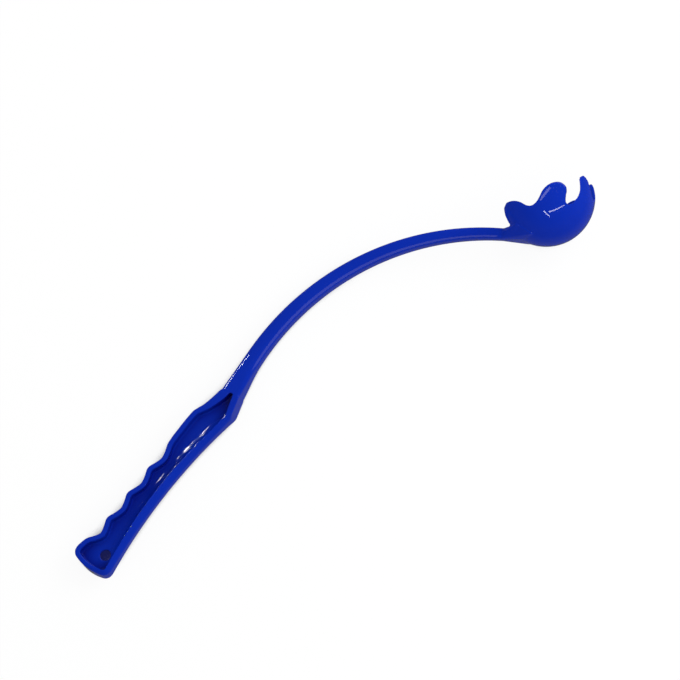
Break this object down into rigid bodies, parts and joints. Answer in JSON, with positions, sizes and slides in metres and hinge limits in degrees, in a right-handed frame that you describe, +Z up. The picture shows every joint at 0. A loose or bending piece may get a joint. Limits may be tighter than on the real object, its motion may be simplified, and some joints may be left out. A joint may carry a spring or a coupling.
{
  "type": "dog ball thrower",
  "caption": "Hand-held dog ball thrower: a recessed grip with finger grooves and a hang hole, a long curved arm, and an open clawed cup that holds and flings a ball.",
  "frame": {"origin": "centre of the hang hole in the grip, at the web's mid-thickness, with the thrower lying on a table as in the picture", "axes": "+X along the grip from the butt towards the cup, +Y towards the finger grooves, +Z up from the table the thrower lies on"},
  "size_m": [0.4537, 0.131, 0.0695],
  "materials": {
    "body": "glossy blue moulded plastic"
  },
  "bodies": {
    "root": {"grip_web": "body", "finger_rim": "body", "palm_rim": "body", "butt_rim": "body", "neck": "body", "arm": "body", "cup_saddle": "body", "cup_bowl": "body", "heel_lobe_left": "body", "heel_lobe_right": "body", "side_lobe_left": "body", "side_lobe_right": "body", "front_finger_left": "body", "front_finger_right": "body"}
  },
  "joints": []
}
